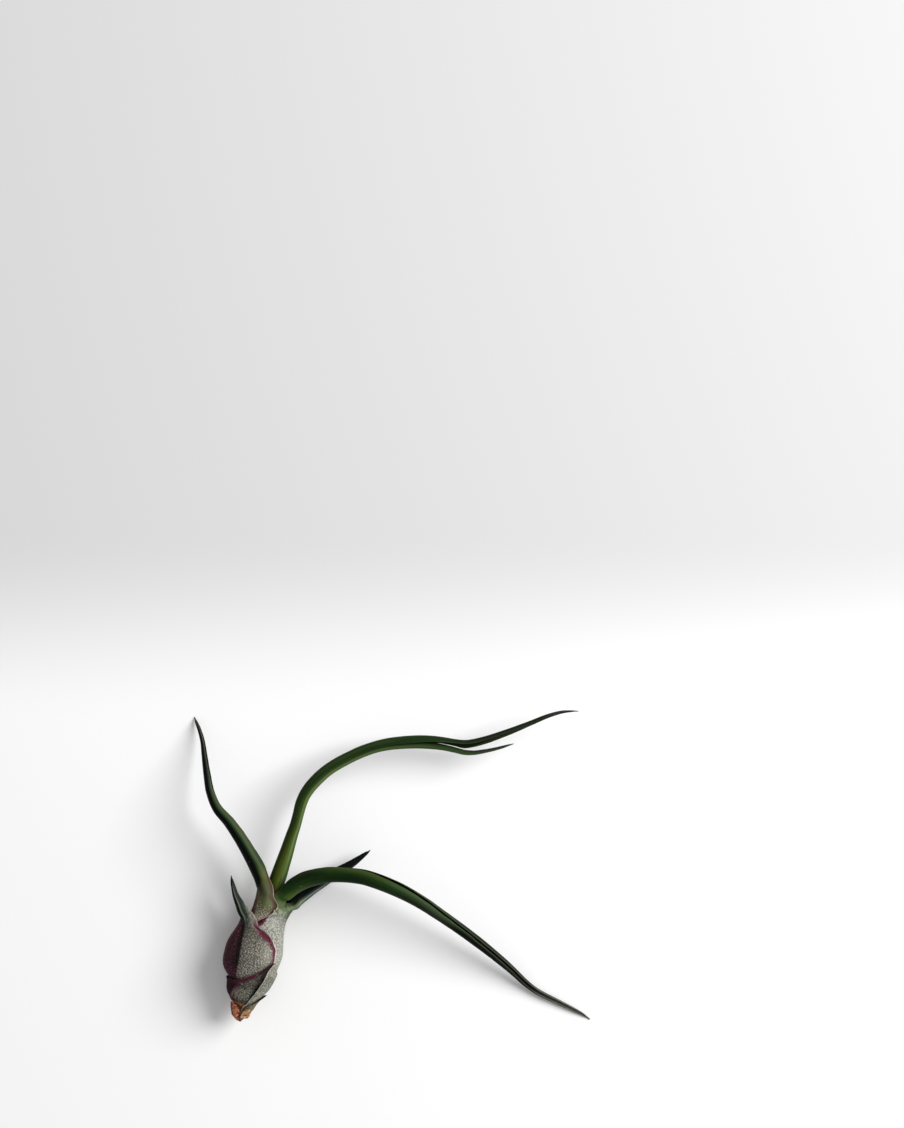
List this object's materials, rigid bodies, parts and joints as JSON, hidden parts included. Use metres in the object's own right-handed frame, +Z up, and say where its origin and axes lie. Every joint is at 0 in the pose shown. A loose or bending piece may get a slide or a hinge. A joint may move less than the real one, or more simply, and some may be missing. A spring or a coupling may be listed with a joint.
{
  "type": "bulbosa air plant",
  "caption": "Small air plant lying on its side: a hollow bulb of overlapping leaf sheaths whose leaves roll up into long tapering channels that curve away from the neck.",
  "frame": {"origin": "middle of the bounding box in plan, on the surface that the plant lies on", "axes": "+X along the plan box's long side, towards the tips of the right and centre leaves; +Y from the bulb's foot side to the centre leaf's side; +Z up, away from the surface"},
  "size_m": [0.1444, 0.1136, 0.0216],
  "materials": {
    "stem": "dry, brown, broken end",
    "dried_scale_front": "dry, papery, orange brown",
    "dried_scale_right": "dry, papery, tan",
    "dried_scale_back": "dry, papery, brown",
    "scale_outer_right": "matt living leaf, fine silvery scurf",
    "sheath_lower_right": "matt living leaf, fine silvery scurf",
    "scale_front": "matt living leaf, fine silvery scurf",
    "sheath_lower_left": "matt living leaf, fine silvery scurf",
    "left_short_leaf": "matt living leaf, fine silvery scurf",
    "right_short_leaf": "matt living leaf, fine silvery scurf",
    "left_long_leaf": "matt living leaf, fine silvery scurf",
    "right_long_leaf": "matt living leaf, fine silvery scurf",
    "centre_leaf_outer": "matt living leaf, fine silvery scurf",
    "centre_leaf_inner": "matt living leaf, fine silvery scurf"
  },
  "bodies": {
    "root": {"stem": "stem", "dried_scale_front": "dried_scale_front", "dried_scale_right": "dried_scale_right", "dried_scale_back": "dried_scale_back", "scale_outer_right": "scale_outer_right", "sheath_lower_right": "sheath_lower_right", "scale_front": "scale_front", "sheath_lower_left": "sheath_lower_left", "left_short_leaf": "left_short_leaf", "right_short_leaf": "right_short_leaf", "left_long_leaf": "left_long_leaf", "right_long_leaf": "right_long_leaf", "centre_leaf_outer": "centre_leaf_outer", "centre_leaf_inner": "centre_leaf_inner"}
  },
  "joints": []
}
